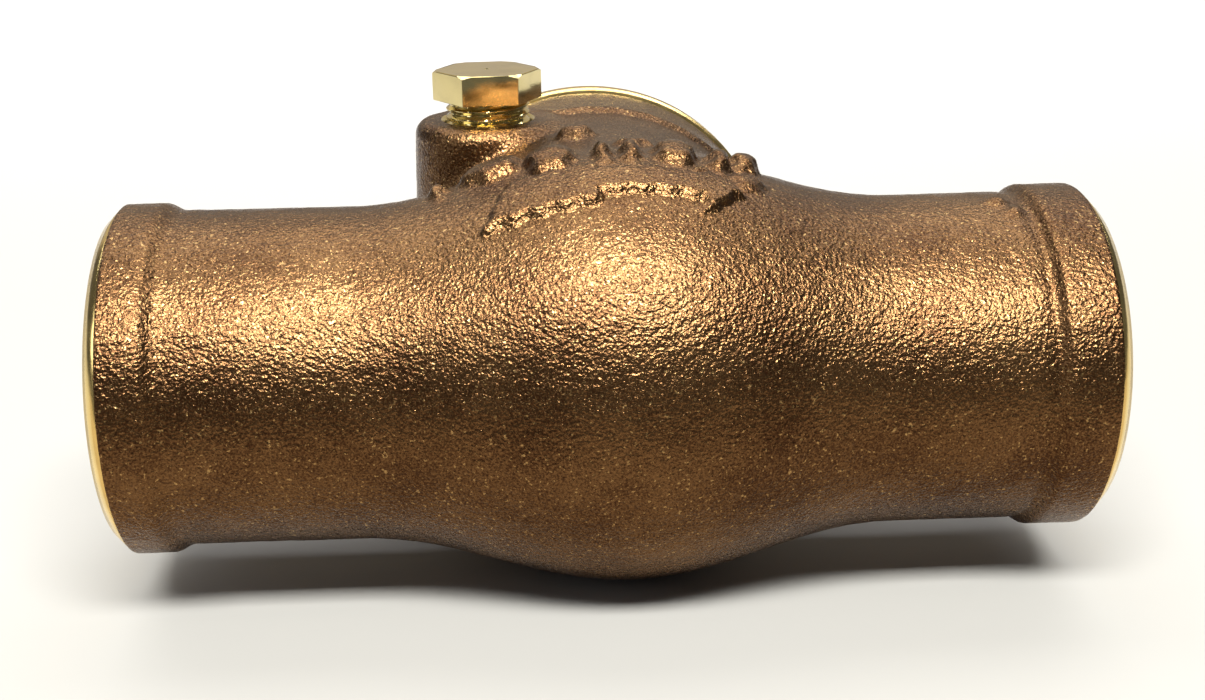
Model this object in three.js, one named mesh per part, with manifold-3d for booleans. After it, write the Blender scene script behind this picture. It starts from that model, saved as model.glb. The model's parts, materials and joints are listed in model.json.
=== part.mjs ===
// A solder-end bronze swing check valve, lying on its side.
// Valve frame: +X along the flow, +Y from the waterway out through the screwed cap, +Z along the hinge
// pin towards its side plug. Everything is built about the crossing of the waterway and cap axes, in
// millimetres, and the last group moves that crossing so that the part's own origin is the bottom centre
// of its box.
import * as THREE from "three";
import { mergeVertices } from "three/addons/utils/BufferGeometryUtils.js";
import Module from "manifold-3d";

const wasm = await Module();
wasm.setup();

// ---- Driving dimensions ----
const ROUND = 40; // facets round a large turned shape
const SMALL_ROUND = 24; // facets round a pin, screw or bore
const BELLY_STEPS = 16; // rings along the belly, outside
const CHAMBER_STEPS = 9; // and inside
const TOUCH = 0.05; // gap left between two pieces that touch
const RUNNING = 0.09; // radial clearance of a pin in its hole

const body = {
  length: 133, // end to end
  pipeRadius: 23,
  bandRadius: 24, // thickened band round each socket mouth
  inletBand: 8.2,
  outletBand: 9.2,
  endChamfer: 1.7,
  wall: 3.2,
  bulge: 7.3, // how far the belly stands out at each side
  frontBulge: 5.2, // and on the side away from the cap
  bulgeCentre: 2.3,
  bulgeHalfLength: 37,
};
const socket = { radius: 20.7, depth: 27.7, mouthChamfer: 0.4 }; // takes a 41.3 mm tube
const waterway = { radius: 19, portRadius: 18 };
const seat = { face: -21.3, outerRadius: 20, reliefRadius: 21.7, reliefDepth: 1.5 };
const neck = {
  radius: 29.2,
  collarRadius: 29.9,
  collarLength: 12.8,
  top: 48,
  boreRadius: 25.4,
  boreFloor: 21, // the full bore ends here on the seat's side
  seatWall: -16.5, // and the pocket below it starts this far along X
};
const gasket = { thickness: 0.9, innerRadius: 26.2, outerRadius: 29.7 };
const cap = {
  flangeRadius: 30.5,
  flangeThickness: 4,
  edgeRounding: 0.9,
  threadLength: 12.7,
  threadPitch: 2.1167,
  threadRadius: 25.1,
  threadDepth: 1.1,
  hollowRadius: 20.5,
  hexAcrossFlats: 38,
  hexHeight: 12,
};
const hinge = { x: -16, y: 30.5, pinRadius: 2.38, pinBottom: -25.4, pinTop: 23.8 };
const boss = { top: 29.5, topRadius: 11, baseRadius: 11.8, base: 6, edge: 1.6 };
const blindBoss = { radius: 6.6, end: 27.6 };
const arrow = {
  tail: -15.5,
  step: -2.3, // where the thick tail ends
  neck: 11.8, // where the head starts
  tip: 18.5,
  tailHalfWidth: 3.8,
  shaftHalfWidth: 2.4,
  headHalfWidth: 4.6,
  y: -9.1,
  rise: 0.9,
};
const pads = { count: 6, from: -15.5, to: 18.5, y: 0.5, length: 2.4, width: 3.4, height: 1.4 };
const plug = {
  threadRadius: 6.35,
  pitch: 1.27,
  threadDepth: 0.62,
  bottom: 24.2,
  exposedThread: 3,
  hexAcrossFlats: 14.3,
  hexHeight: 4.45,
  hexTurn: 4.5, // degrees that it happens to stop at when tight
  faceRadius: 7.5, // flat top inside the corners that the lathe turned off
  holeRadius: 6.6,
};
const disc = {
  radius: 21,
  back: -15.2,
  plateThickness: 2.8,
  lipFront: -20.2,
  lipInner: 19.9,
  bossRadius: 7,
  bossEnd: -13.8,
};
const stud = { radius: 3.97, end: 0, screwHoleRadius: 3.1, screwHoleEnd: -14.4 };
const seatDisc = { radius: 19.6, holeRadius: 3.4, front: -21.15, back: -18.05 };
const plate = { radius: 10, thickness: 1.4, holeRadius: 3.4 };
const screw = { radius: 2.9, headRadius: 5.4, headHeight: 3, slotWidth: 1.4, slotDepth: 1.3, tip: -14.8 };
const hanger = {
  hubRadius: 4.7,
  hubHalfWidth: 14.2,
  armFront: -13.4,
  armBack: -9,
  armHalfWidth: 5.5,
  ringRadius: 8,
  ringBack: -8,
  webHalfWidth: 9,
};
const nut = { acrossFlats: 12.7, thickness: 5, washerThickness: 1.2, washerRadius: 7.6 };

// ---- Solids ----
// A closed BufferGeometry as a manifold-3d solid, with the triangles that collapse on an axis left out.
function solidOf(geometry) {
  const bare = new THREE.BufferGeometry();
  const source = geometry.index ? geometry.toNonIndexed() : geometry;
  bare.setAttribute("position", source.getAttribute("position"));
  const merged = mergeVertices(bare, 1e-4);
  const triVerts = [];
  for (let i = 0; i < merged.index.count; i += 3) {
    const [a, b, c] = [0, 1, 2].map((k) => merged.index.getX(i + k));
    if (a !== b && b !== c && c !== a) triVerts.push(a, b, c);
  }
  const mesh = new wasm.Mesh({
    numProp: 3,
    vertProperties: new Float32Array(merged.attributes.position.array),
    triVerts: new Uint32Array(triVerts),
  });
  return new wasm.Manifold(mesh);
}

function geometryOf(solid) {
  const mesh = solid.getMesh();
  const geometry = new THREE.BufferGeometry();
  geometry.setAttribute("position", new THREE.BufferAttribute(mesh.vertProperties, 3));
  geometry.setIndex(new THREE.BufferAttribute(mesh.triVerts, 1));
  geometry.computeVertexNormals();
  return geometry;
}

// Points of a quarter round from one angle to another, in degrees, about a centre in (radius, height).
function arc(centreRadius, centreHeight, radius, from, to, steps = 3) {
  const points = [];
  for (let i = 0; i <= steps; i++) {
    const angle = THREE.MathUtils.degToRad(from + ((to - from) * i) / steps);
    points.push([centreRadius + radius * Math.cos(angle), centreHeight + radius * Math.sin(angle)]);
  }
  return points;
}

// A profile of [radius, height] points, lowest first, turned about the Y axis.
function turned(profile, facets = ROUND) {
  return new THREE.LatheGeometry(profile.map(([r, h]) => new THREE.Vector2(r, h)), facets);
}
const alongX = (geometry) => geometry.rotateZ(-Math.PI / 2);
const alongZ = (geometry) => geometry.rotateX(Math.PI / 2);

// A plain turned cylinder about Y, from one height to another.
function rod(radius, from, to, facets = SMALL_ROUND, edge = 0) {
  const top = edge ? [[radius, to - edge], [radius - edge, to]] : [[radius, to]];
  const bottom = edge ? [[radius - edge, from], [radius, from + edge]] : [[radius, from]];
  return turned([[0, from], ...bottom, ...top, [0, to]], facets);
}

// A ring about Y.
function ring(inner, outer, from, to, facets = ROUND) {
  return turned([[inner, from], [outer, from], [outer, to], [inner, to], [inner, from]], facets);
}

// A hexagonal prism about Y, corners at +X and -X, whose top corners are turned off at 30 degrees down to
// a flat round face.
function hexHead(acrossFlats, from, to, faceRadius = acrossFlats / 2 - 0.4) {
  const corner = acrossFlats / Math.sqrt(3);
  const prism = new THREE.CylinderGeometry(corner, corner, to - from, 6).rotateY(Math.PI / 2);
  prism.translate(0, (from + to) / 2, 0);
  const outside = corner + 1;
  const drop = (outside - faceRadius) * Math.tan(Math.PI / 6);
  const blank = turned([[0, from - 1], [outside, from - 1], [outside, to - drop], [faceRadius, to], [0, to]]);
  return solidOf(prism).intersect(solidOf(blank));
}

function box(x0, x1, y0, y1, z0, z1) {
  const block = new THREE.BoxGeometry(x1 - x0, y1 - y0, z1 - z0);
  return block.translate((x0 + x1) / 2, (y0 + y1) / 2, (z0 + z1) / 2);
}

// ---- Valve body ----
const halfLength = body.length / 2;

// Share of the belly's full height at a place along the waterway: a raised cosine.
function bellyShare(x) {
  const t = (x - body.bulgeCentre) / body.bulgeHalfLength;
  return Math.abs(t) < 1 ? (1 + Math.cos(Math.PI * t)) / 2 : 0;
}

// The belly stands out less on the side away from the cap.
function flattenFront(geometry, wall) {
  const position = geometry.getAttribute("position");
  for (let i = 0; i < position.count; i++) {
    const y = position.getY(i);
    if (y >= 0) continue;
    const share = bellyShare(position.getX(i));
    const base = body.pipeRadius - wall;
    position.setY(i, (y * (base + body.frontBulge * share)) / (base + body.bulge * share));
  }
  return geometry;
}

function bellyPoints(from, to, steps, wall) {
  const points = [];
  for (let i = 0; i <= steps; i++) {
    const x = from + ((to - from) * i) / steps;
    points.push([body.pipeRadius - wall + body.bulge * bellyShare(x), x]);
  }
  return points;
}

// One socket end of the outer skin, from the mouth inwards, as [radius, distance from the mouth].
function bandPoints(width) {
  const { bandRadius, endChamfer, pipeRadius } = body;
  return [
    [bandRadius - endChamfer, 0],
    [bandRadius, endChamfer],
    [bandRadius, width - 1.8],
    [bandRadius - 0.4, width - 0.7],
    [pipeRadius + 0.15, width + 0.6],
    [pipeRadius, width + 1.6],
  ];
}

function outerSkin() {
  const inletEnd = bandPoints(body.inletBand).map(([r, d]) => [r, d - halfLength]);
  const outletEnd = bandPoints(body.outletBand).map(([r, d]) => [r, halfLength - d]).reverse();
  const { bulgeCentre, bulgeHalfLength } = body;
  const belly = bellyPoints(bulgeCentre - bulgeHalfLength, bulgeCentre + bulgeHalfLength, BELLY_STEPS, 0);
  const profile = [[0, -halfLength], ...inletEnd, ...belly, ...outletEnd, [0, halfLength]];
  return solidOf(flattenFront(alongX(turned(profile)), 0));
}

// Sockets, ports, seat ring and the chamber that the disc swings in.
function innerPassage() {
  const shoulder = halfLength - socket.depth;
  const mouth = halfLength - socket.mouthChamfer;
  const wide = socket.radius + socket.mouthChamfer;
  const profile = [
    [0, -halfLength - 1],
    [wide + 1, -halfLength - 1],
    [wide, -halfLength],
    [socket.radius, -mouth],
    [socket.radius, -shoulder],
    [waterway.radius, -shoulder],
    [waterway.radius, -30],
    [waterway.portRadius, -27],
    [waterway.portRadius, seat.face],
    [seat.outerRadius - 0.6, seat.face],
    [seat.outerRadius, seat.face - 0.4],
    [seat.outerRadius, seat.face - seat.reliefDepth],
    [seat.reliefRadius, seat.face - seat.reliefDepth],
    [seat.reliefRadius, seat.face],
    ...bellyPoints(-20, 28, CHAMBER_STEPS, body.wall),
    [waterway.radius, 33],
    [waterway.radius, shoulder],
    [socket.radius, shoulder],
    [socket.radius, mouth],
    [wide, halfLength],
    [wide + 1, halfLength + 1],
    [0, halfLength + 1],
  ];
  return solidOf(flattenFront(alongX(turned(profile)), body.wall));
}

function neckSkin() {
  const { radius, collarRadius, collarLength, top } = neck;
  const profile = [
    [0, 2],
    [radius, 2],
    [radius, top - collarLength - 1.2],
    [collarRadius - 0.4, top - collarLength],
    [collarRadius, top - collarLength + 0.8],
    [collarRadius, top - 0.8],
    [collarRadius - 0.8, top],
    [0, top],
  ];
  return solidOf(turned(profile));
}

// The cap's bore, and below it the pocket that the open disc swings up into, kept clear of the seat.
function neckBore() {
  const bore = solidOf(rod(neck.boreRadius, neck.boreFloor, neck.top + 1, ROUND));
  const pocket = solidOf(rod(neck.boreRadius, 4, neck.boreFloor + 1, ROUND));
  return bore.add(pocket.intersect(solidOf(box(neck.seatWall, 30, 0, 30, -30, 30))));
}

function bosses() {
  const { top, topRadius, baseRadius, base, edge } = boss;
  const upper = turned([
    [0, base],
    [baseRadius, base],
    [topRadius, top - edge],
    ...arc(topRadius - edge, top - edge, edge, 30, 90, 2),
    [0, top],
  ]);
  const lower = turned([
    [0, -blindBoss.end],
    [blindBoss.radius - 1.6, -blindBoss.end],
    [blindBoss.radius, -blindBoss.end + 1.4],
    [blindBoss.radius + 0.6, -base],
    [0, -base],
  ]);
  return solidOf(alongZ(upper)).add(solidOf(alongZ(lower))).translate(hinge.x, hinge.y, 0);
}

function hingeHoles() {
  const pinHole = rod(hinge.pinRadius + RUNNING, hinge.pinBottom - 0.2, plug.bottom + 1);
  const plugHole = rod(plug.holeRadius, plug.bottom - 0.3, boss.top + 1);
  return solidOf(alongZ(pinHole)).add(solidOf(alongZ(plugHole))).translate(hinge.x, hinge.y, 0);
}

// A raised arrow that shows the flow, on the plug's side: a thick tail, a thinner shaft and a head.
function flowArrow() {
  const { tail, step, neck: headStart, tip, tailHalfWidth, shaftHalfWidth, headHalfWidth, y, rise } = arrow;
  const upperEdge = [
    [tail, tailHalfWidth],
    [step, tailHalfWidth],
    [step, shaftHalfWidth],
    [headStart, shaftHalfWidth],
    [headStart, headHalfWidth],
  ];
  const lowerEdge = upperEdge.map(([x, offset]) => [x, -offset]).reverse();
  const outline = [...upperEdge, [tip, 0], ...lowerEdge];
  const shape = new THREE.Shape(outline.map(([x, offset]) => new THREE.Vector2(x, y + offset)));
  const prism = new THREE.ExtrudeGeometry(shape, { depth: 22, bevelEnabled: false }).translate(0, 0, 12);
  const raised = turned([[0, -30], [1, -30], ...bellyPoints(-30, 32, BELLY_STEPS, -rise), [1, 32], [0, 32]]);
  return solidOf(prism).intersect(solidOf(flattenFront(alongX(raised), -rise)));
}

// A row of low cast pads beside the arrow.
function castPads() {
  let row = null;
  for (let i = 0; i < pads.count; i++) {
    const x = pads.from + ((pads.to - pads.from) * i) / (pads.count - 1);
    const radius = body.pipeRadius + body.bulge * bellyShare(x);
    const pad = new THREE.SphereGeometry(1, 10, 6).scale(pads.length, pads.width, pads.height);
    pad.rotateX(-Math.asin(pads.y / radius)).translate(x, pads.y, Math.sqrt(radius ** 2 - pads.y ** 2));
    row = row ? row.add(solidOf(pad)) : solidOf(pad);
  }
  return row;
}

function valveBody() {
  const skin = outerSkin().add(neckSkin()).add(bosses()).add(flowArrow()).add(castPads());
  return geometryOf(skin.subtract(innerPassage()).subtract(neckBore()).subtract(hingeHoles()));
}

// ---- Cap, gasket and side plug ----
const gasketBottom = neck.top + TOUCH;
const flangeBottom = gasketBottom + gasket.thickness + TOUCH;
const flangeTop = flangeBottom + cap.flangeThickness;
const capTop = flangeTop + cap.hexHeight;

function screwCap() {
  const { flangeRadius, edgeRounding, threadRadius, threadPitch, threadLength, hollowRadius } = cap;
  const rootRadius = threadRadius - cap.threadDepth;
  const threadBottom = flangeBottom - threadLength;
  const turns = Math.floor(threadLength / threadPitch) - 1;
  const ridges = [];
  for (let i = 0; i < turns; i++) {
    const h = threadBottom + 1 + i * threadPitch;
    const crest = [0.4, 0.6].map((share) => [threadRadius, h + share * threadPitch]);
    ridges.push([rootRadius, h], ...crest);
  }
  const skirt = turned([
    [hollowRadius, threadBottom],
    [rootRadius, threadBottom],
    ...ridges,
    [rootRadius, flangeBottom - 1],
    [rootRadius, flangeBottom],
    [flangeRadius - edgeRounding, flangeBottom],
    [flangeRadius, flangeBottom + edgeRounding],
    [flangeRadius, flangeTop - edgeRounding],
    [flangeRadius - edgeRounding, flangeTop],
    [0, flangeTop],
    [0, flangeBottom - 1],
    [hollowRadius - 4, flangeBottom - 1],
    [hollowRadius, flangeBottom - 5],
    [hollowRadius, threadBottom],
  ]);
  return geometryOf(solidOf(skirt).add(hexHead(cap.hexAcrossFlats, flangeTop - 0.5, capTop)));
}

function capGasket() {
  return ring(gasket.innerRadius, gasket.outerRadius, gasketBottom, gasketBottom + gasket.thickness);
}

const plugHexBottom = boss.top + plug.exposedThread;
const plugTop = plugHexBottom + plug.hexHeight;

function sidePlug() {
  const { threadRadius, threadDepth, pitch, bottom } = plug;
  const turns = Math.floor((plugHexBottom - bottom - 1.2) / pitch);
  const ridges = [];
  for (let i = 0; i < turns; i++) {
    const h = bottom + 0.9 + i * pitch;
    ridges.push([threadRadius - threadDepth, h], [threadRadius, h + 0.5 * pitch]);
  }
  const shank = turned([
    [0, bottom],
    [threadRadius - threadDepth - 0.4, bottom],
    ...ridges,
    [threadRadius - threadDepth, plugHexBottom - 0.4],
    [threadRadius - threadDepth, plugHexBottom + 0.5],
    [0, plugHexBottom + 0.5],
  ], SMALL_ROUND);
  const head = hexHead(plug.hexAcrossFlats, plugHexBottom, plugTop, plug.faceRadius);
  const turn = THREE.MathUtils.degToRad(plug.hexTurn);
  return alongZ(geometryOf(solidOf(shank).add(head))).rotateZ(turn).translate(hinge.x, hinge.y, 0);
}

// ---- Hinge pin, hanger and disc ----
function hingePin() {
  const pin = alongZ(rod(hinge.pinRadius, hinge.pinBottom, hinge.pinTop, SMALL_ROUND, 0.4));
  return geometryOf(solidOf(pin)).translate(hinge.x, hinge.y, 0);
}

function hangerArm() {
  const { hubRadius, hubHalfWidth, armFront, armBack, armHalfWidth } = hanger;
  const { ringRadius, ringBack, webHalfWidth } = hanger;
  const barrel = alongZ(rod(hubRadius, -hubHalfWidth, hubHalfWidth, ROUND, 0.6));
  const hub = solidOf(barrel).translate(hinge.x, hinge.y, 0);
  const outline = new THREE.Shape([
    new THREE.Vector2(-armHalfWidth, 0),
    new THREE.Vector2(armHalfWidth, 0),
    new THREE.Vector2(armHalfWidth + 0.6, 17),
    new THREE.Vector2(webHalfWidth, hinge.y - 3),
    new THREE.Vector2(-webHalfWidth, hinge.y - 3),
    new THREE.Vector2(-armHalfWidth - 0.6, 17),
  ]);
  const thickness = armBack - armFront;
  const arm = new THREE.ExtrudeGeometry(outline, { depth: thickness, bevelEnabled: false });
  arm.rotateY(Math.PI / 2).translate(armFront, 0, 0);
  const eye = solidOf(alongX(rod(ringRadius, armFront, ringBack, ROUND, 0.5)));
  const holes = solidOf(alongX(rod(stud.radius + RUNNING, -20, 0))).add(
    solidOf(alongZ(rod(hinge.pinRadius + RUNNING, -20, 20))).translate(hinge.x, hinge.y, 0),
  );
  return geometryOf(hub.add(solidOf(arm)).add(eye).subtract(holes));
}

// The disc holder: a cup for the seat disc, a boss behind it and the stud that hangs in the hanger's eye.
function discHolder() {
  const { radius, back, plateThickness, lipFront, lipInner, bossRadius, bossEnd } = disc;
  const profile = [
    [0, stud.screwHoleEnd],
    [stud.screwHoleRadius, stud.screwHoleEnd],
    [stud.screwHoleRadius, back - plateThickness],
    [lipInner, back - plateThickness],
    [lipInner, lipFront],
    [radius - 0.3, lipFront],
    [radius, lipFront + 0.3],
    [radius, back - 0.6],
    [radius - 0.6, back],
    [bossRadius + 1, back],
    [bossRadius, bossEnd],
    [stud.radius, bossEnd],
    [stud.radius, stud.end - 0.6],
    [stud.radius - 0.6, stud.end],
    [0, stud.end],
  ];
  return alongX(turned(profile));
}

function softSeatDisc() {
  return alongX(ring(seatDisc.holeRadius, seatDisc.radius, seatDisc.front, seatDisc.back));
}

const plateBack = seatDisc.front - TOUCH;
const plateFront = plateBack - plate.thickness;

function discPlate() {
  return alongX(ring(plate.holeRadius, plate.radius, plateFront, plateBack));
}

function discScrew() {
  const headBack = plateFront - TOUCH;
  const headFront = headBack - screw.headHeight;
  const shape = turned([
    [0, headFront],
    [screw.headRadius - 1, headFront],
    [screw.headRadius, headFront + 1.1],
    [screw.headRadius, headBack],
    [screw.radius, headBack],
    [screw.radius, screw.tip],
    [0, screw.tip],
  ], SMALL_ROUND);
  const halfSlot = screw.slotWidth / 2;
  const slot = box(headFront - 1, headFront + screw.slotDepth, -halfSlot, halfSlot, -8, 8);
  return geometryOf(solidOf(alongX(shape)).subtract(solidOf(slot)));
}

const washerFront = hanger.ringBack + 0.3;
const washerBack = washerFront + nut.washerThickness;
const nutFront = washerBack + TOUCH;

function hangerWasher() {
  return alongX(ring(stud.radius + RUNNING, nut.washerRadius, washerFront, washerBack, SMALL_ROUND));
}

function hangerNut() {
  const blank = hexHead(nut.acrossFlats, nutFront, nutFront + nut.thickness);
  const bore = solidOf(rod(stud.radius + 0.1, -20, 20));
  return alongX(geometryOf(blank.subtract(bore)));
}

// ---- Materials ----
const metal = (color, roughness) => new THREE.MeshStandardMaterial({ color, roughness, metalness: 1 });
const castBronze = metal(0x9c7248, 0.5);
const machinedBrass = metal(0xd9b45c, 0.22);
const discBronze = metal(0xb98a52, 0.38);
const steel = metal(0xb9bcc0, 0.3);
const rubber = new THREE.MeshStandardMaterial({ color: 0x1d1c1b, roughness: 0.8, metalness: 0 });
const whiteSeal = new THREE.MeshStandardMaterial({ color: 0xf2efe6, roughness: 0.55, metalness: 0 });

// ---- Assembly ----
function piece(name, geometry, material) {
  const mesh = new THREE.Mesh(geometry, material);
  mesh.name = name;
  return mesh;
}
function group(...members) {
  return new THREE.Group().add(...members);
}

const discGroup = group(
  piece("disc_holder", discHolder(), discBronze),
  piece("seat_disc", softSeatDisc(), rubber),
  piece("disc_plate", discPlate(), machinedBrass),
  piece("disc_screw", discScrew(), machinedBrass),
  piece("hanger_washer", hangerWasher(), machinedBrass),
  piece("hanger_nut", hangerNut(), machinedBrass),
);
const swingGroup = group(piece("hanger", hangerArm(), discBronze), discGroup);
const capGroup = group(piece("cap_gasket", capGasket(), whiteSeal), piece("cap", screwCap(), machinedBrass));
const valve = group(
  piece("valve_body", valveBody(), castBronze),
  capGroup,
  piece("side_plug", sidePlug(), machinedBrass),
  piece("hinge_pin", hingePin(), steel),
  swingGroup,
);

// The valve lies on its cap's flange, so that the flange radius is the height of its axes above the ground.
const front = body.pipeRadius + body.frontBulge;
valve.position.set(0, -(capTop - front) / 2, cap.flangeRadius);

export default new THREE.Group().add(valve);
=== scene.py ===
# %% [markdown]
# # A bronze swing check valve
#
# Water may pass through this valve one way only. A round disc hangs from an arm inside the belly, swings
# open with the flow and falls back on its seat when the flow turns. The body is one sand casting,
# machined where something has to fit: at the two sockets, the seat, the neck and the hinge pin's hole.
# The valve lies on its side here.
#
# The lesson follows the foundry and then the machine shop: a rough skin, a sand core, and turned cutters.

# %% Open the frame
import json
import math

import bmesh
import bpy
import numpy as np
from mathutils import Matrix, Vector


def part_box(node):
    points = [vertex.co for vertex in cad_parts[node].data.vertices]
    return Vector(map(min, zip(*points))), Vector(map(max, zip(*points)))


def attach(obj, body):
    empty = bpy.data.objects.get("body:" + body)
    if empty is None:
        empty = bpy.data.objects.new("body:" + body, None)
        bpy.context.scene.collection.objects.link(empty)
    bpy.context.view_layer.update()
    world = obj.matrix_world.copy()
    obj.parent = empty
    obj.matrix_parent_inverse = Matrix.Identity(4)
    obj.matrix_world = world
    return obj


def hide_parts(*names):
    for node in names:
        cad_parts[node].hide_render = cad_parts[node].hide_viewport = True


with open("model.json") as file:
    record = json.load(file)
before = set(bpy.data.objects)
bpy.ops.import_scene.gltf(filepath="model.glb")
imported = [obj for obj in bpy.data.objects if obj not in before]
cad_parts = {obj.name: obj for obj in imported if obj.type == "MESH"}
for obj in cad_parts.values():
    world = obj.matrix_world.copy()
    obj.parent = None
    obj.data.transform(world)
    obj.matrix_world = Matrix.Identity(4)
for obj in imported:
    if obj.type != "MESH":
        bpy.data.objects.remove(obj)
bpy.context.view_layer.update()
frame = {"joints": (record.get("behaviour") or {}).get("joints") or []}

# %% [markdown]
# ## Work in millimetres about the crossing of the axes
#
# A valve is drawn about the point where its waterway and its cap's axis cross. X runs with the flow, Y
# out through the cap and Z up the hinge pin. Every piece is made in millimetres about that point, and the
# last step of each piece moves it to its place, in metres. The joints say where the crossing and the
# hinge are.

# %% The valve's own axes
MM = 0.001
joints = {joint["name"]: joint for joint in frame["joints"]}
spin_at = Vector(joints["disc_spin"]["pos_m"])
CROSSING = Vector((0, spin_at.y, spin_at.z))
HINGE_X, HINGE_Y, _ = (Vector(joints["disc_swing"]["pos_m"]) - CROSSING) / MM


def node_box(node):
    low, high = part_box(node)
    return (low - CROSSING) / MM, (high - CROSSING) / MM


_, body_high = node_box("valve_body")
HALF_LENGTH = body_high.x
NECK_TOP = body_high.y
print(f"half length {HALF_LENGTH:.1f}, neck top {NECK_TOP:.1f}, hinge at {HINGE_X:.1f}, {HINGE_Y:.1f}")

# %% [markdown]
# ## The helpers: turn, cut and join
#
# Nearly everything on a valve is turned on a lathe. A profile of radius and height, swept round an axis,
# makes it. A Screw modifier could do it from a drawn line. A mesh written with bmesh is exact and quick,
# so the helper writes the rings itself.

# %% Turned shapes
FACETS = 144
TOWARDS = {
    "X": Matrix.Rotation(math.pi / 2, 4, "Y"),
    "Y": Matrix.Rotation(-math.pi / 2, 4, "X"),
    "Z": Matrix(),
}


def object_from(name, bm):
    bmesh.ops.recalc_face_normals(bm, faces=bm.faces)
    mesh = bpy.data.meshes.new(name)
    bm.to_mesh(mesh)
    bm.free()
    obj = bpy.data.objects.new(name, mesh)
    bpy.context.scene.collection.objects.link(obj)
    return obj


def turned(name, profile, axis="Y", facets=FACETS):
    """Sweeps [radius, height] points round an axis, from axis to axis or in a closed loop."""
    closed = profile[0] == profile[-1]
    bm = bmesh.new()
    rings = []
    for radius, height in profile[:-1] if closed else profile:
        around = facets if radius > 0 else 1
        angles = [2 * math.pi * i / around for i in range(around)]
        rings.append([bm.verts.new((radius * math.cos(a), radius * math.sin(a), height)) for a in angles])
    pairs = list(zip(rings, rings[1:]))
    if closed:
        pairs.append((rings[-1], rings[0]))
    for low, high in pairs:
        for i in range(facets):
            j = (i + 1) % facets
            corners = [low[i % len(low)], low[j % len(low)], high[j % len(high)], high[i % len(high)]]
            bm.faces.new(dict.fromkeys(corners))
    bm.transform(TOWARDS[axis])
    return object_from(name, bm)


def rod(name, radius, low, high, axis="Y", edge=0.0, facets=FACETS):
    """A plain turned bar, with its corners chamfered where edge isn't 0."""
    corner = [(radius - edge, low), (radius, low + edge), (radius, high - edge), (radius - edge, high)]
    if not edge:
        corner = [(radius, low), (radius, high)]
    return turned(name, [(0, low), *corner, (0, high)], axis, facets)


def ring(name, inner, outer, low, high, axis="Y", edge=0.15):
    """A flat washer with small chamfers outside."""
    outside = [(outer - edge, low), (outer, low + edge), (outer, high - edge), (outer - edge, high)]
    return turned(name, [(inner, low), *outside, (inner, high), (inner, low)], axis)


print("turned shapes have", FACETS, "facets unless a piece asks for more or fewer")

# %% [markdown]
# Cuts and joins use the Boolean modifier's manifold solver, which needs closed meshes and is quick. It
# gives the cutter's material to the faces that it makes, so a machined face is bright and the casting
# round it stays rough. Every modifier is applied at once, so that each step starts from a plain mesh.

# %% Booleans and applied modifiers
def bake(obj):
    """Replaces the mesh with what its modifiers make, and removes them."""
    depsgraph = bpy.context.evaluated_depsgraph_get()
    mesh = bpy.data.meshes.new_from_object(obj.evaluated_get(depsgraph), depsgraph=depsgraph)
    obj.modifiers.clear()
    obj.data = mesh
    return obj


def combine(target, tool, operation="UNION"):
    """Joins, cuts or intersects target with tool, and uses the tool up."""
    boolean = target.modifiers.new("combine", "BOOLEAN")
    boolean.object = tool
    boolean.operation = operation
    boolean.solver = "MANIFOLD"
    boolean.material_mode = "TRANSFER"
    bake(target)
    bpy.data.objects.remove(tool)
    return target


def bevel(obj, width, angle=30, segments=2):
    """Breaks the sharp edges, as a file or a tumbler does."""
    modifier = obj.modifiers.new("bevel", "BEVEL")
    modifier.width = width
    modifier.segments = segments
    modifier.limit_method = "ANGLE"
    modifier.angle_limit = math.radians(angle)
    modifier.harden_normals = False
    return bake(obj)


def moved(obj, x=0, y=0, z=0):
    obj.data.transform(Matrix.Translation((x, y, z)))
    return obj


def painted(obj, material):
    obj.data.materials.clear()
    obj.data.materials.append(material)
    return obj


def fit(obj, body, node, sharp=32):
    """Puts a finished piece in its place, in metres, and hides the CAD node that it stands for."""
    obj.data.transform(Matrix.Translation(CROSSING) @ Matrix.Scale(MM, 4))
    obj.data.shade_smooth()
    obj.data.set_sharp_from_angle(angle=math.radians(sharp))
    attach(obj, body)
    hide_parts(node)
    triangles = sum(len(face.vertices) - 2 for face in obj.data.polygons)
    print(f"{obj.name}: {triangles} triangles on {body}")


# %% [markdown]
# ## Materials
#
# A material here is a few nodes round one Principled shader. All of them read Object coordinates, so a
# pattern keeps its size in metres whichever piece it is on. A few helpers keep each material short.

# %% A short way to write nodes
def new_material(name):
    material = bpy.data.materials.new(name)
    material.use_nodes = True
    tree = material.node_tree
    return material, tree, tree.nodes["Principled BSDF"]


def add(tree, kind, inputs=None, **settings):
    """Adds a node, sets its options, and fills its inputs with values or links."""
    node = tree.nodes.new(kind)
    for key, value in settings.items():
        setattr(node, key, value)
    for key, value in (inputs or {}).items():
        if isinstance(value, bpy.types.NodeSocket):
            tree.links.new(value, node.inputs[key])
        else:
            node.inputs[key].default_value = value
    return node


def noise(tree, vector, scale, detail=3.0, roughness=0.5):
    inputs = {"Vector": vector, "Scale": scale, "Detail": detail, "Roughness": roughness}
    return add(tree, "ShaderNodeTexNoise", inputs).outputs["Fac"]


def ramp(tree, value, stops):
    """A colour ramp through (position, colour) stops."""
    node = add(tree, "ShaderNodeValToRGB", {"Fac": value})
    elements = node.color_ramp.elements
    while len(elements) < len(stops):
        elements.new(0.5)
    for element, (position, colour) in zip(elements, stops):
        element.position = position
        element.color = (*colour, 1)
    return node.outputs["Color"]


def between(tree, value, low, high, to_low, to_high):
    inputs = {"Value": value, "From Min": low, "From Max": high, "To Min": to_low, "To Max": to_high}
    return add(tree, "ShaderNodeMapRange", inputs).outputs["Result"]


def calculate(tree, operation, a, b=0.0):
    return add(tree, "ShaderNodeMath", {0: a, 1: b}, operation=operation).outputs[0]
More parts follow.
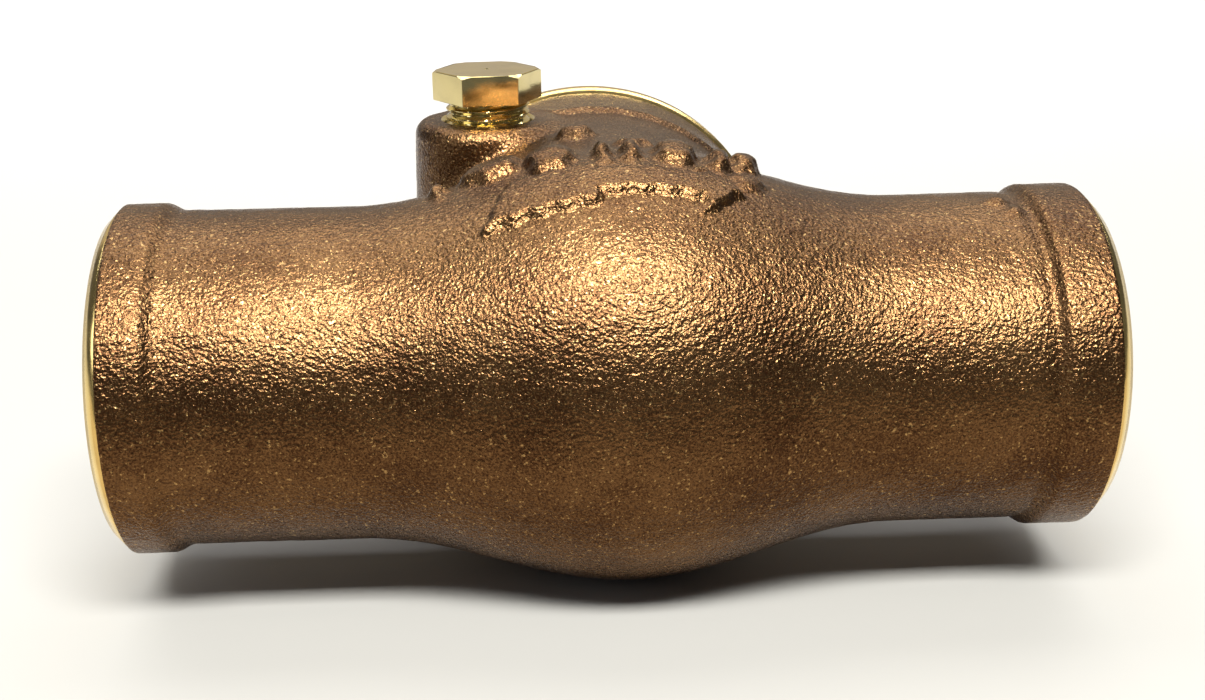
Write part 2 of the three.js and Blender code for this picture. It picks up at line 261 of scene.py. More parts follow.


# %% [markdown]
# Sand-cast bronze is a metal whose surface took the print of the sand: grains about half a millimetre
# across, a brown skin, and flecks of bare metal. Real displacement would need millions of faces, so the
# grains are bump. Cells and noise together make them, and a finer noise makes the skin's tone, its gloss
# and the smallest pits, so these agree. The pits come out darker: partly the oxide that sits in them,
# partly painted shade, since bump casts no shadow into them.

# %% Sand-cast bronze
def sand_cast(name, grain, print_depth, dark, mid, bright, rough):
    """Rough metal with grains of a given size in metres."""
    material, tree, shader = new_material(name)
    place = add(tree, "ShaderNodeTexCoord").outputs["Object"]
    cells = add(tree, "ShaderNodeTexVoronoi", {"Vector": place, "Scale": 1.3 / grain, "Smoothness": 1.0},
                feature="SMOOTH_F1")
    uneven = calculate(tree, "MULTIPLY", noise(tree, place, 0.75 / grain, 3, 0.6), 1.3)
    grit = calculate(tree, "SUBTRACT", uneven, calculate(tree, "MULTIPLY", cells.outputs["Distance"], 0.7))
    fine = noise(tree, place, 1.9 / grain, 2, 0.5)
    stain = noise(tree, place, 70, 5, 0.6)
    fleck = noise(tree, place, 1.1 / grain, 1, 0.5)
    # The fine noise also sets the pits' height, so the dark tone falls in the pits: oxide there, and painted
    # shade that bump cannot cast.
    fine_share = calculate(tree, "MULTIPLY", fine, 0.62)
    tone_and_pit_shade = calculate(tree, "ADD", fine_share, calculate(tree, "MULTIPLY", stain, 0.38))
    skin = ramp(tree, tone_and_pit_shade, [(0.40, dark), (0.60, mid)])
    bare = between(tree, fleck, 0.66, 0.73, 0.0, 1.0)
    colour = add(tree, "ShaderNodeMix", {"Factor": bare, "A": skin, "B": (*bright, 1)}, data_type="RGBA")
    tree.links.new(colour.outputs["Result"], shader.inputs["Base Color"])
    tree.links.new(between(tree, fine, 0.3, 0.7, rough + 0.06, rough - 0.06), shader.inputs["Roughness"])
    height = calculate(tree, "ADD", grit, calculate(tree, "MULTIPLY", fine, 0.4))
    bump = add(tree, "ShaderNodeBump", {"Height": height, "Distance": print_depth, "Strength": 1.0})
    tree.links.new(bump.outputs["Normal"], shader.inputs["Normal"])
    shader.inputs["Metallic"].default_value = 1.0
    return material


cast_bronze = sand_cast("cast_bronze", grain=0.00054, print_depth=0.00015, dark=(0.066, 0.030, 0.014),
                        mid=(0.205, 0.112, 0.049), bright=(0.46, 0.30, 0.13), rough=0.29)
print("sand-cast bronze:", len(cast_bronze.node_tree.nodes), "nodes")

# %% [markdown]
# Turned brass is the opposite: bright, and smooth but for the fine rings that the tool leaves. The rings
# are a noise that is stretched round the axis: it reads only the distance from the axis and the place
# along it.

# %% Turned brass
def turned_metal(name, axis, through, colour, rough, ring_depth=0.000006):
    """A metal with tool marks round an axis ("X", "Y" or "Z") that passes through a point, in metres."""
    material, tree, shader = new_material(name)
    place = add(tree, "ShaderNodeTexCoord").outputs["Object"]
    local = add(tree, "ShaderNodeVectorMath", {0: place, 1: tuple(through)}, operation="SUBTRACT").outputs[0]
    parts = add(tree, "ShaderNodeSeparateXYZ", {"Vector": local})
    others = [part for part in "XYZ" if part != axis]
    squares = [calculate(tree, "POWER", parts.outputs[part], 2.0) for part in others]
    radius = calculate(tree, "SQRT", calculate(tree, "ADD", *squares))
    marks = add(tree, "ShaderNodeCombineXYZ", {"X": radius, "Y": parts.outputs[axis]}).outputs[0]
    rings = noise(tree, marks, 5200, 2, 0.6)
    cloud = noise(tree, place, 260, 4, 0.6)
    light = tuple(min(1.0, 1.06 * part) for part in colour)
    dark = tuple(0.90 * part for part in colour)
    tint = ramp(tree, cloud, [(0.35, dark), (0.5, colour), (0.68, light)])
    tree.links.new(tint, shader.inputs["Base Color"])
    tree.links.new(between(tree, cloud, 0.3, 0.7, rough - 0.02, rough + 0.04), shader.inputs["Roughness"])
    bump = add(tree, "ShaderNodeBump", {"Height": rings, "Distance": ring_depth, "Strength": 0.8})
    tree.links.new(bump.outputs["Normal"], shader.inputs["Normal"])
    shader.inputs["Metallic"].default_value = 1.0
    return material


BRASS = (0.83, 0.62, 0.25)
BRONZE = (0.66, 0.45, 0.22)
HINGE = CROSSING + Vector((HINGE_X, HINGE_Y, 0)) * MM
machined_bronze = turned_metal("machined_bronze", "X", CROSSING, (0.86, 0.64, 0.25), 0.20)
cap_brass = turned_metal("cap_brass", "Y", CROSSING, BRASS, 0.20)
plug_brass = turned_metal("plug_brass", "Z", HINGE, (0.72, 0.60, 0.29), 0.13)
disc_metal = turned_metal("disc_bronze", "X", CROSSING, BRONZE, 0.28)
ground_steel = turned_metal("ground_steel", "Z", HINGE, (0.62, 0.63, 0.64), 0.18)
hanger_bronze = sand_cast("hanger_bronze", grain=0.0004, print_depth=0.00008, dark=(0.30, 0.18, 0.09),
                          mid=(0.48, 0.31, 0.16), bright=(0.66, 0.46, 0.25), rough=0.36)

# %% [markdown]
# The seat disc is moulded rubber and the cap's gasket is cut from cream sheet. Neither is metal, and both
# are matte, with a very fine grain.

# %% Rubber and sheet
def soft_material(name, colour, rough, grain):
    material, tree, shader = new_material(name)
    place = add(tree, "ShaderNodeTexCoord").outputs["Object"]
    speck = noise(tree, place, grain, 4, 0.6)
    lighter = tuple(min(1.0, 1.15 * part + 0.01) for part in colour)
    tree.links.new(ramp(tree, speck, [(0.35, colour), (0.7, lighter)]), shader.inputs["Base Color"])
    tree.links.new(between(tree, speck, 0.3, 0.7, rough - 0.06, rough + 0.06), shader.inputs["Roughness"])
    bump = add(tree, "ShaderNodeBump", {"Height": speck, "Distance": 0.00003, "Strength": 0.5})
    tree.links.new(bump.outputs["Normal"], shader.inputs["Normal"])
    return material


black_rubber = soft_material("black_rubber", (0.022, 0.021, 0.020), 0.62, 2400)
cream_sheet = soft_material("cream_sheet", (0.78, 0.72, 0.55), 0.5, 1800)
print("materials:", ", ".join(sorted(material.name for material in bpy.data.materials)))

# %% [markdown]
# ## The casting's skin, as a field
#
# A pattern maker shapes wood and fills each inside corner with a fillet. A field does the same: a
# function that gives every point its distance from the skin, below nothing inside the metal. Each limb of
# the valve has such a function, and a smooth minimum of them makes the fillets. Bevels on a boolean union
# would fail where the belly runs smoothly into the neck.

# %% The limbs' sizes, in millimetres
PIPE_RADIUS = 23.0
BAND_RADIUS = 24.05
INLET_BAND = 8.2
OUTLET_BAND = 9.2
BULGE = 7.3
FRONT_BULGE = 5.2
BULGE_CENTRE = 2.3
BULGE_HALF_LENGTH = 37.0
WALL = 3.2
NECK_RADIUS = 29.2
COLLAR_RADIUS = 29.9
COLLAR_START = 35.2
BOSS_TOP = 29.5
BOSS_RADIUS = 11.0
BLIND_BOSS_RADIUS = 6.6
BLIND_BOSS_END = 27.6


def step(t):
    """Goes smoothly from 0 to 1 as t does."""
    t = np.clip(t, 0, 1)
    return t * t * (3 - 2 * t)


def belly(x):
    return (1 + np.cos(np.pi * np.clip((x - BULGE_CENTRE) / BULGE_HALF_LENGTH, -1, 1))) / 2


def run_radius(x):
    """Radius of the run from socket to socket, with its two bands and its belly."""
    from_mouth = HALF_LENGTH - np.abs(x)
    at_inlet = step((INLET_BAND + 0.9 - from_mouth) / 2.6)
    at_outlet = step((OUTLET_BAND + 0.5 - from_mouth) / 1.5)
    crease = 0.22 * np.exp(-(((from_mouth - OUTLET_BAND - 0.7) / 0.7) ** 2)) * (x > 0)
    band = np.where(x < 0, at_inlet, at_outlet)
    return PIPE_RADIUS + (BAND_RADIUS - PIPE_RADIUS) * band - crease + BULGE * belly(x)


def fillet(a, b, size):
    """Smooth minimum of two distances, with a fillet of about that size between them."""
    share = np.clip(0.5 + 0.5 * (b - a) / size, 0, 1)
    return b * (1 - share) + a * share - size * share * (1 - share)


def barrel(along, radius, outer, low, high, edge):
    """Distance from a short cylinder with rounded corners, outer being its radius at that height."""
    side = radius - outer + edge
    end = np.maximum(low - along, along - high) + edge
    outside = np.hypot(np.maximum(side, 0), np.maximum(end, 0))
    return outside + np.minimum(np.maximum(side, end), 0) - edge


def skin_field(p):
    x, y, z = p.T
    flatten = (PIPE_RADIUS + FRONT_BULGE * belly(x)) / (PIPE_RADIUS + BULGE * belly(x))
    round_y = np.where(y < 0, y / flatten, y)
    run = barrel(x, np.hypot(round_y, z), run_radius(x), -HALF_LENGTH - 0.6, HALF_LENGTH + 0.6, 0.2)
    collar = step((y - COLLAR_START + 0.4 + 0.25 * np.sin(1.3 * x)) / 0.9)
    neck_radius = NECK_RADIUS + (COLLAR_RADIUS - NECK_RADIUS) * collar
    neck = barrel(y, np.hypot(x, z), neck_radius, 0, NECK_TOP + 0.6, 0.2)
    boss_draft = BOSS_RADIUS + 0.03 * (BOSS_TOP - z)
    from_pin = np.hypot(x - HINGE_X, y - HINGE_Y)
    boss = barrel(z, from_pin, boss_draft, 4, BOSS_TOP, 2.1)
    blind = barrel(z, from_pin, BLIND_BOSS_RADIUS, -BLIND_BOSS_END, -4, 1.5)
    into_corner = 0.8 + 4.2 * step(np.abs(x) / 16)
    return fillet(fillet(fillet(run, neck, into_corner), boss, 2.2), blind, 2.5)


def slope(field, p, reach=0.05):
    """Which way the field rises fastest at each point, by small steps along X, Y and Z."""
    steps = np.eye(3) * reach
    return np.stack([field(p + s) - field(p - s) for s in steps], axis=1) / (2 * reach)


print("belly radius at its widest:", run_radius(np.array([BULGE_CENTRE]))[0])

# %% [markdown]
# ## Foundry marks
#
# A foundry puts raised marks on its castings. Only blank ones are made here: a plain arrow that shows the
# flow, and a row of rounded lumps along the foot of the neck. They are heights on the top side, and the
# skin's points move out along their normals by that much, so every mark follows the belly's curve and
# keeps soft edges.

# %% Heights of the raised marks
MARK_HEIGHT = 0.95
ARROW_Y = -9.1
ARROW_PARTS = [(-14.6, -1.6, 3.8), (-3.0, 13.0, 2.4)]  # from x, to x, half width
ARROW_HEAD = (12.0, 17.2, 4.8)  # from x, to the tip's x, half width
LUMP_RISE = 1.25
LUMPS = [  # x, y, half length, half width, and height as a share of the rise
    (-22.6, 0.8, 1.1, 2.4, 1.2),
    (-15.4, 1.6, 4.0, 3.4, 1.4),
    (-7.4, -0.4, 3.2, 4.0, 1.5),
    (-3.2, 18.2, 2.4, 2.6, 1.3),
    (-0.5, -0.6, 1.0, 3.4, 1.4),
    (3.2, -0.7, 1.2, 3.5, 1.4),
    (4.4, 9.6, 2.7, 3.0, 1.0),
    (9.2, -0.2, 2.6, 4.2, 1.5),
    (15.1, -0.6, 1.4, 3.4, 1.5),
    (18.7, 1.7, 1.9, 3.2, 1.7),
    (18.6, -4.8, 2.0, 2.4, 0.7),
    (53.0, -2.5, 1.3, 1.6, 0.6),
    (54.6, -5.5, 1.1, 1.3, 0.5),
]


def raised(inside, edge=1.4):
    """1 inside an outline and 0 outside it, with a soft edge. Inside is the distance from the outline."""
    return step(0.5 + inside / edge)


def mark_height(p, normal):
    x, y, z = p.T
    x, y = x + 0.22 * np.sin(2.1 * y + x), y + 0.22 * np.sin(1.9 * x)
    across = np.abs(y - ARROW_Y)
    slant = 0.45 * (y - ARROW_Y)
    arrow = np.zeros(len(p))
    for start, end, half_width in ARROW_PARTS:
        along = np.minimum(x - start - slant, end - x)
        arrow = np.maximum(arrow, raised(np.minimum(along, half_width - across)))
    start, tip, half_width = ARROW_HEAD
    head = np.minimum(x - start, half_width * (tip - x) / (tip - start) - across)
    height = MARK_HEIGHT * np.maximum(arrow, raised(head))
    for lump_x, lump_y, half_length, half_width, rise in LUMPS:
        away = np.hypot((x - lump_x) / half_length, (y - lump_y) / half_width)
        dome = LUMP_RISE * rise * (1 - 0.35 * np.minimum(away, 1) ** 2)
        height = np.maximum(height, dome * raised((1 - away) * min(half_length, half_width), 1.7))
    return height * (normal[:, 2] > 0.2) * (z > 10)


print("raised marks: an arrow and", len(LUMPS), "blank lumps")

# %% [markdown]
# ## Cast the skin
#
# The limbs' rough shapes are joined first, and voxel remeshing lays an even net of points over them. The
# net is made finer under the marks. Then Newton steps pull each point on to the field's skin, and between
# them each point moves to the middle of its neighbours, which takes out the stairs of the voxels. The
# marks are lifted last.

# %% Cast the skin
def voxel_union(name, parts, voxel):
    """One even net of faces over several overlapping closed shapes."""
    bm = bmesh.new()
    for part in parts:
        bm.from_mesh(part.data)
        bpy.data.objects.remove(part)
    union = object_from(name, bm)
    remesh = union.modifiers.new("remesh", "REMESH")
    remesh.mode = "VOXEL"
    remesh.voxel_size = voxel
    return bake(union)


run_stations = np.linspace(-HALF_LENGTH - 0.6, HALF_LENGTH + 0.6, 90)
run_profile = [(float(run_radius(x)), float(x)) for x in run_stations]
rough_parts = [
    turned("run", [(0, run_profile[0][1]), *run_profile, (0, run_profile[-1][1])], "X"),
    rod("neck", NECK_RADIUS, 0, NECK_TOP + 0.6, "Y"),
    moved(rod("boss", BOSS_RADIUS, 4, BOSS_TOP, "Z", 1.5), HINGE_X, HINGE_Y),
    moved(rod("blind_boss", BLIND_BOSS_RADIUS, -BLIND_BOSS_END, -4, "Z", 1.0), HINGE_X, HINGE_Y),
]
VOXEL = 0.66
casting = voxel_union("valve_body_casting", rough_parts, VOXEL)

MARKS_HALF_LENGTH = 24
MARKS_FRONT = -14
MARKS_BACK = 12.5
MARKS_FOOT = 16
bm = bmesh.new()
bm.from_mesh(casting.data)
marked = []
for edge in bm.edges:
    x, y, z = (edge.verts[0].co + edge.verts[1].co) / 2
    if abs(x) < MARKS_HALF_LENGTH and MARKS_FRONT < y < MARKS_BACK and z > MARKS_FOOT:
        marked.append(edge)
bmesh.ops.subdivide_edges(bm, edges=marked, cuts=1, use_grid_fill=True)
bm.to_mesh(casting.data)
bm.free()
print("finer net under the marks:", len(marked), "edges split")


def pulled(points, steps):
    """Pulls points on to the skin by Newton's method."""
    for _ in range(steps):
        rise = slope(skin_field, points)
        points = points - rise * (skin_field(points) / (rise**2).sum(axis=1).clip(0.2))[:, None]
    return points


def evened(points, ends):
    """Moves each point to the middle of its neighbours, so that the net has no stairs left in it."""
    total = np.zeros_like(points)
    for here, there in (ends.T, ends.T[::-1]):
        np.add.at(total, here, points[there])
    return total / np.bincount(ends.ravel(), minlength=len(points))[:, None]


points = np.empty(len(casting.data.vertices) * 3, np.float32)
casting.data.vertices.foreach_get("co", points)
points = points.reshape(-1, 3).astype(float)
ends = np.empty(len(casting.data.edges) * 2, np.int32)
casting.data.edges.foreach_get("vertices", ends)
ends = ends.reshape(-1, 2)
for _ in range(3):
    points = evened(pulled(points, 2), ends)
points = pulled(points, 4)
left_over = np.abs(skin_field(points)).max()
normals = slope(skin_field, points)
normals /= np.linalg.norm(normals, axis=1)[:, None]
points += normals * mark_height(points, normals)[:, None]
casting.data.vertices.foreach_set("co", points.astype(np.float32).ravel())
casting.data.update()
print(f"skin: {len(points)} points, at most {left_over:.3f} mm from the field before the marks")

# %% [markdown]
# ## The print of the sand
#
# The skin is still too smooth. A geometry nodes tree pushes each point in or out by noise, and the same
# tree roughens the sand core later. Its named inputs are the grain's size, its depth, and a slower ripple
# that keeps long surfaces from looking ruled.

# %% A tree that roughens a cast surface
def sand_print_tree():
    tree = bpy.data.node_groups.new("sand_print", "GeometryNodeTree")
    tree.is_modifier = True
    face = tree.interface
    face.new_socket("Geometry", in_out="INPUT", socket_type="NodeSocketGeometry")
    sizes = (("Grain Size", 1.5), ("Grain Depth", 0.2), ("Ripple Size", 14.0), ("Ripple Depth", 0.3))
    for name, default in sizes:
        face.new_socket(name, in_out="INPUT", socket_type="NodeSocketFloat").default_value = default
    face.new_socket("Material", in_out="INPUT", socket_type="NodeSocketMaterial")
    face.new_socket("Geometry", in_out="OUTPUT", socket_type="NodeSocketGeometry")
    given = tree.nodes.new("NodeGroupInput").outputs
    place = add(tree, "GeometryNodeInputPosition").outputs[0]
    normal = add(tree, "GeometryNodeInputNormal").outputs[0]
    pushes = []
    for size, depth, detail in (("Grain Size", "Grain Depth", 1.0), ("Ripple Size", "Ripple Depth", 1.0)):
        scale = calculate(tree, "DIVIDE", 1.0, given[size])
        wave = noise(tree, place, scale, detail)
        centred = calculate(tree, "SUBTRACT", wave, 0.5)
        pushes.append(calculate(tree, "MULTIPLY", centred, given[depth]))
    push = calculate(tree, "ADD", *pushes)
    offset = add(tree, "ShaderNodeVectorMath", {0: normal, "Scale": push}, operation="SCALE").outputs[0]
    pushed = add(tree, "GeometryNodeSetPosition", {"Geometry": given["Geometry"], "Offset": offset})
    real = add(tree, "GeometryNodeRealizeInstances", {"Geometry": pushed.outputs[0]})
    coat = {"Geometry": real.outputs[0], "Material": given["Material"]}
    coated = add(tree, "GeometryNodeSetMaterial", coat)
    add(tree, "NodeGroupOutput", {"Geometry": coated.outputs[0]})
    return tree


def run_tree(obj, tree, **values):
    """Adds a tree as a modifier, sets its named inputs, and bakes it."""
    modifier = obj.modifiers.new(tree.name, "NODES")
    modifier.node_group = tree
    names = {item.name: item.identifier for item in tree.interface.items_tree if item.in_out == "INPUT"}
    for key, value in values.items():
        modifier[names[key.replace("_", " ")]] = value
    return bake(obj)


sand_print = sand_print_tree()
run_tree(casting, sand_print, Grain_Size=2.3, Grain_Depth=0.2, Ripple_Size=16.0, Ripple_Depth=0.3,
         Material=cast_bronze)
print("cast skin:", len(casting.data.polygons), "faces")

# %% [markdown]
# ## The sand core
#
# The waterway takes the shape of a sand core, so it is cut first, and it is rough. Three turned cores make
# it: the inlet's, the chamber's and the neck's. Each gets the print of the sand before it cuts, because
# that is simpler than roughening the inside of the finished body.

# %% Core
SOCKET_RADIUS = 20.7
SOCKET_DEPTH = 27.7
WATERWAY_RADIUS = 19.0
PORT_RADIUS = 18.0
SEAT_X = -21.3
NECK_BORE = 25.4
SHOULDER = HALF_LENGTH - SOCKET_DEPTH


def chamber_profile(low, high, count):
    stations = np.linspace(low, high, count)
    return [(float(PIPE_RADIUS - WALL + BULGE * belly(x)), float(x)) for x in stations]


def flatten_front(obj, wall):
    for vertex in obj.data.vertices:
        if vertex.co.y < 0:
            swell = float(belly(vertex.co.x))
            base = PIPE_RADIUS - wall
            vertex.co.y *= (base + FRONT_BULGE * swell) / (base + BULGE * swell)
    return obj


def even(low, high, radius, gap=1.5):
    """A straight stretch of a core, in short steps so that the sand can print on it."""
    return [(radius, float(x)) for x in np.linspace(low, high, round(abs(high - low) / gap) + 1)]


inlet_core = [
    (0, -SHOULDER - 1),
    *even(-SHOULDER - 1, -30, WATERWAY_RADIUS),
    *even(-27, SEAT_X + 1, PORT_RADIUS),
    (0, SEAT_X + 1),
]
chamber_core = [
    (0, SEAT_X),
    *even(SEAT_X, SEAT_X, 19.4),
    (21.9, SEAT_X + 0.05),
    *chamber_profile(-20.2, 28, 32),
    *even(32, SHOULDER + 1, WATERWAY_RADIUS),
    (0, SHOULDER + 1),
]
chamber = flatten_front(turned("chamber_core", chamber_core, "X", 96), WALL)
neck_steps = [(NECK_BORE - 0.3, float(y)) for y in np.linspace(4, NECK_TOP - 9, 24)]
neck_core = turned("neck_core", [(0, 4), *neck_steps, (0, NECK_TOP - 9)], "Y", 120)


def block(name, low, high):
    """A box from one corner to another."""
    bm = bmesh.new()
    bmesh.ops.create_cube(bm, size=1)
    size = [b - a for a, b in zip(low, high)]
    middle = [(a + b) / 2 for a, b in zip(low, high)]
    bm.transform(Matrix.Translation(middle) @ Matrix.Diagonal((*size, 1)))
    return object_from(name, bm)


SEAT_WALL_X = -16.5
NECK_FLOOR = 21.0
combine(neck_core, block("seat_wall", (-40, -10, -40), (SEAT_WALL_X, NECK_FLOOR, 40)), "DIFFERENCE")
for core in (turned("inlet_core", inlet_core, "X", 96), chamber, neck_core):
    run_tree(core, sand_print, Grain_Size=1.6, Grain_Depth=0.2, Ripple_Size=12.0, Ripple_Depth=0.2,
             Material=cast_bronze)
    combine(casting, core, "DIFFERENCE")
print("after coring:", len(casting.data.polygons), "faces")

# %% [markdown]
# ## The machining
#
# Then come the turned cutters, in the order of the lathe: each end is faced and chamfered, the sockets are
# bored to fit the tube, the seat is cut, the neck is faced and bored, and the hinge pin's hole is drilled
# from the side. The cutters are bright metal, and so are the faces that they leave.

# %% Machining
END_CHAMFER = 1.7
FINISHED_BAND = 24.0
face_edge = FINISHED_BAND - END_CHAMFER
mouth = SOCKET_RADIUS + 0.4


def machine(profile, axis="X", x=0, y=0, material=machined_bronze):
    cutter = moved(turned("cutter", profile, axis), x, y)
    combine(casting, painted(cutter, material), "DIFFERENCE")


for side in (-1, 1):
    facing = [(0, HALF_LENGTH), (face_edge, HALF_LENGTH), (face_edge + 4, HALF_LENGTH - 4),
              (30, HALF_LENGTH - 4), (30, HALF_LENGTH + 3), (0, HALF_LENGTH + 3)]
    boring = [(0, SHOULDER), (SOCKET_RADIUS, SHOULDER), (SOCKET_RADIUS, HALF_LENGTH - 0.4),
              (mouth + 1.2, HALF_LENGTH + 1.2), (0, HALF_LENGTH + 1.2)]
    machine([(r, side * h) for r, h in facing])
    machine([(r, side * h) for r, h in boring])

port_cutter = [(0, -27), (PORT_RADIUS + 0.25, -27), (PORT_RADIUS + 0.25, SEAT_X + 0.02), (0, SEAT_X + 0.02)]
seat_relief = [(20, SEAT_X - 1.5), (21.7, SEAT_X - 1.5), (21.7, SEAT_X + 1.2), (18, SEAT_X + 1.2),
               (18, SEAT_X), (19.6, SEAT_X), (20, SEAT_X - 0.4), (20, SEAT_X - 1.5)]
machine(port_cutter)
machine(seat_relief)

THREADED_DEPTH = 14
neck_facing = [(0, NECK_TOP), (34, NECK_TOP), (34, NECK_TOP + 3), (0, NECK_TOP + 3)]
neck_boring = [(0, NECK_TOP - THREADED_DEPTH), (NECK_BORE, NECK_TOP - THREADED_DEPTH),
               (NECK_BORE, NECK_TOP - 0.5), (NECK_BORE + 1.5, NECK_TOP + 1), (0, NECK_TOP + 1)]
machine(neck_facing, "Y", material=cap_brass)
machine(neck_boring, "Y", material=cap_brass)

PIN_RADIUS = 2.38
PIN_HOLE = PIN_RADIUS + 0.08
PIN_HOLE_BOTTOM = -25.6
PLUG_HOLE = 6.6
PLUG_BOTTOM = 24.2
pin_drilling = [(0, PIN_HOLE_BOTTOM), (PIN_HOLE, PIN_HOLE_BOTTOM), (PIN_HOLE, PLUG_BOTTOM + 1),
                (0, PLUG_BOTTOM + 1)]
plug_drilling = [(0, PLUG_BOTTOM - 0.4), (PLUG_HOLE, PLUG_BOTTOM - 0.4), (PLUG_HOLE, BOSS_TOP - 0.5),
                 (PLUG_HOLE + 2.5, BOSS_TOP + 2), (0, BOSS_TOP + 2)]
machine(pin_drilling, "Z", HINGE_X, HINGE_Y, plug_brass)
machine(plug_drilling, "Z", HINGE_X, HINGE_Y, plug_brass)
fit(casting, "housing", "valve_body", sharp=50)

# %% [markdown]
# ## Screw threads
#
# A thread follows a rule, so geometry nodes make it: a fine cylinder whose side is pulled in by a
# triangle wave of height minus turn. Where the wave's phase is the height in pitches less the angle in
# turns, the ridges climb as one helix. The pull grows to its full depth at both ends, as a thread runs
# out.

# %% A tree that cuts a thread
def thread_tree():
    tree = bpy.data.node_groups.new("screw_thread", "GeometryNodeTree")
    tree.is_modifier = True
    face = tree.interface
    face.new_socket("Geometry", in_out="INPUT", socket_type="NodeSocketGeometry")
    sizes = (("Radius", 6.0), ("Length", 8.0), ("Bottom", 0.0), ("Pitch", 1.27), ("Depth", 0.6))
    for name, default in sizes:
        face.new_socket(name, in_out="INPUT", socket_type="NodeSocketFloat").default_value = default
    face.new_socket("Sides", in_out="INPUT", socket_type="NodeSocketInt").default_value = 96
    face.new_socket("Rows", in_out="INPUT", socket_type="NodeSocketInt").default_value = 80
    face.new_socket("Material", in_out="INPUT", socket_type="NodeSocketMaterial")
    face.new_socket("Geometry", in_out="OUTPUT", socket_type="NodeSocketGeometry")
    given = tree.nodes.new("NodeGroupInput").outputs
    shank = add(tree, "GeometryNodeMeshCylinder", {
        "Vertices": given["Sides"],
        "Side Segments": given["Rows"],
        "Radius": given["Radius"],
        "Depth": given["Length"],
    })
    parts = add(tree, "ShaderNodeSeparateXYZ", {"Vector": add(tree, "GeometryNodeInputPosition").outputs[0]})
    height = calculate(tree, "ADD", parts.outputs["Z"], calculate(tree, "MULTIPLY", given["Length"], 0.5))
    angle = calculate(tree, "ARCTAN2", parts.outputs["Y"], parts.outputs["X"])
    turns = calculate(tree, "DIVIDE", angle, 2 * math.pi)
    phase = calculate(tree, "SUBTRACT", calculate(tree, "DIVIDE", height, given["Pitch"]), turns)
    wave = calculate(tree, "MULTIPLY", calculate(tree, "PINGPONG", phase, 0.5), 2.0)
    flank = between(tree, wave, 0.12, 0.9, 0.0, 1.0)
    from_bottom = calculate(tree, "DIVIDE", height, given["Pitch"])
    from_top = calculate(tree, "DIVIDE", calculate(tree, "SUBTRACT", given["Length"], height), given["Pitch"])
    run_out = calculate(tree, "SUBTRACT", 1.0, calculate(tree, "MINIMUM", from_bottom, from_top))
    pull = calculate(tree, "MAXIMUM", flank, run_out)
    inward = calculate(tree, "MULTIPLY", calculate(tree, "MULTIPLY", pull, given["Depth"]), -1.0)
    away = add(tree, "ShaderNodeCombineXYZ", {"X": parts.outputs["X"], "Y": parts.outputs["Y"]}).outputs[0]
    outward = add(tree, "ShaderNodeVectorMath", {0: away}, operation="NORMALIZE").outputs[0]
    offset = add(tree, "ShaderNodeVectorMath", {0: outward, "Scale": inward}, operation="SCALE").outputs[0]
    cut = add(tree, "GeometryNodeSetPosition", {"Geometry": shank.outputs["Mesh"], "Offset": offset})
    lift = calculate(tree, "ADD", given["Bottom"], calculate(tree, "MULTIPLY", given["Length"], 0.5))
    raised = add(tree, "ShaderNodeCombineXYZ", {"Z": lift}).outputs[0]
    placed = add(tree, "GeometryNodeTransform", {"Geometry": cut.outputs[0], "Translation": raised})
    real = add(tree, "GeometryNodeRealizeInstances", {"Geometry": placed.outputs[0]})
    coat = {"Geometry": real.outputs[0], "Material": given["Material"]}
    coated = add(tree, "GeometryNodeSetMaterial", coat)
    add(tree, "NodeGroupOutput", {"Geometry": coated.outputs[0]})
    return tree


screw_thread = thread_tree()


def threaded_bar(name, axis, radius, low, high, pitch, depth, material, sides=96):
    bar = object_from(name, bmesh.new())
    rows = round((high - low) / pitch * 12)
    run_tree(bar, screw_thread, Radius=radius, Length=high - low, Bottom=low, Pitch=pitch, Depth=depth,
             Sides=sides, Rows=rows, Material=material)
    bar.data.transform(TOWARDS[axis])
    return bar


# %% [markdown]
# ## Hexagon heads
#
# A hexagon head starts as drawn hexagon bar and its corners are turned off at 30 degrees, which leaves
# the curved edges that every nut has. The prism and the turned blank are made apart and the head is what
# they share.

# %% The common hexagon
def hexagon(name, across_flats, low, high, axis, both_ends=False, turn=0.0, soft=0.18, cut=None):
    """Cut is how much of each corner the lathe turns off: down to the flats where it isn't given."""
    corner = across_flats / math.sqrt(3)
    bm = bmesh.new()
    bmesh.ops.create_cone(bm, cap_ends=True, segments=6, radius1=corner, radius2=corner, depth=high - low)
    start = Matrix.Rotation(turn, 4, "Z")
    bm.transform(TOWARDS[axis] @ Matrix.Translation((0, 0, (low + high) / 2)) @ start)
    prism = bevel(object_from(name, bm), soft, segments=3)
    flat = corner - cut if cut else across_flats / 2 - 0.35
    drop = (corner - flat) * math.tan(math.radians(30))
    top = [(corner + 0.2, high - drop - 0.1), (flat, high), (0, high)]
    bottom = [(0, low), (corner + 0.2, low)]
    if both_ends:
        bottom = [(0, low), (flat, low), (corner + 0.2, low + drop + 0.1)]
    blank = turned("blank", [*bottom, *top], axis)
    return combine(prism, blank, "INTERSECT")


# %% [markdown]
# ## The cap and its gasket
#
# The cap is bar brass: a round flange with a broken edge, a hexagon for the spanner, and a hollow
# threaded skirt that screws into the neck. A thin cream gasket lies under the flange.

